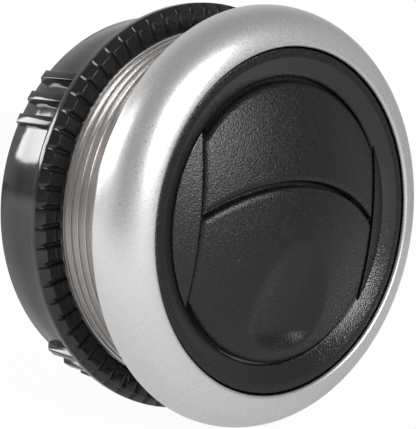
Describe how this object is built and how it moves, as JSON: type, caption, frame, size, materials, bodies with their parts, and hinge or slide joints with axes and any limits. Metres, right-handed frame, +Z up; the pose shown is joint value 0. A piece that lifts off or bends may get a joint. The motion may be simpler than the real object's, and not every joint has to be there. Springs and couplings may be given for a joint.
{
  "type": "round air conditioning vent",
  "caption": "Round panel air vent with a fat silver bezel on a threaded neck, a turning black face with domed flaps that tilt together, and a serrated lock nut behind.",
  "frame": {"origin": "on the vent's axis, at the plane where the bezel seats on the panel", "axes": "+Y along the axis towards the back, so the face looks towards -Y; +Z up, with the thumb dimple at the bottom; +X to the right as seen from the front"},
  "size_m": [0.0924, 0.0508, 0.0924],
  "materials": {
    "silver_paint": "satin silver lacquer on moulded plastic, fine grain",
    "gloss_black": "glossy black moulding",
    "grained_black": "black moulding with a fine leather-like grain",
    "felt": "dense felt",
    "spring_steel": "plain spring steel",
    "pin_steel": "drawn stainless wire",
    "bush_resin": "natural acetal"
  },
  "bodies": {
    "housing": {"bezel": "silver_paint", "rotor_friction_ring": "felt"},
    "lock_nut": {"lock_nut": "gloss_black"},
    "rotor": {"rotor": "grained_black", "rotor_retainer": "spring_steel", "upper_pin_left": "pin_steel", "upper_pin_right": "pin_steel", "lower_pin_left": "pin_steel", "lower_pin_right": "pin_steel"},
    "upper_flap": {"upper_flap": "grained_black", "upper_bush_left": "bush_resin", "upper_bush_right": "bush_resin", "link_pin_upper": "pin_steel"},
    "lower_flap": {"lower_flap": "grained_black", "lower_bush_left": "bush_resin", "lower_bush_right": "bush_resin", "link_pin_lower": "pin_steel"},
    "link_bar": {"link_bar": "grained_black"}
  },
  "joints": [
    {"name": "rotor_turn", "type": "hinge", "parent": "housing", "child": "rotor", "pos_m": [0, 0, 0], "axis": [0, 1, 0], "continuous": true},
    {"name": "lower_flap_tilt", "type": "hinge", "parent": "rotor", "child": "lower_flap", "pos_m": [0, -0.011, -0.009], "axis": [1, 0, 0], "range_deg": [0, 75]},
    {"name": "upper_flap_tilt", "type": "hinge", "parent": "rotor", "child": "upper_flap", "pos_m": [0, -0.011, 0.013], "axis": [1, 0, 0], "range_deg": [0, 75]},
    {"name": "link_swing", "type": "hinge", "parent": "lower_flap", "child": "link_bar", "pos_m": [0, -0.0085, -0.019], "axis": [1, 0, 0], "range_deg": [-75, 0]},
    {"name": "lock_nut_travel", "type": "slide", "parent": "housing", "child": "lock_nut", "axis": [0, 1, 0], "range_m": [-0.011, 0.003]}
  ],
  "couplings": [
    {"joint": "upper_flap_tilt", "follows": "lower_flap_tilt", "ratio": 1},
    {"joint": "link_swing", "follows": "lower_flap_tilt", "ratio": -1}
  ]
}
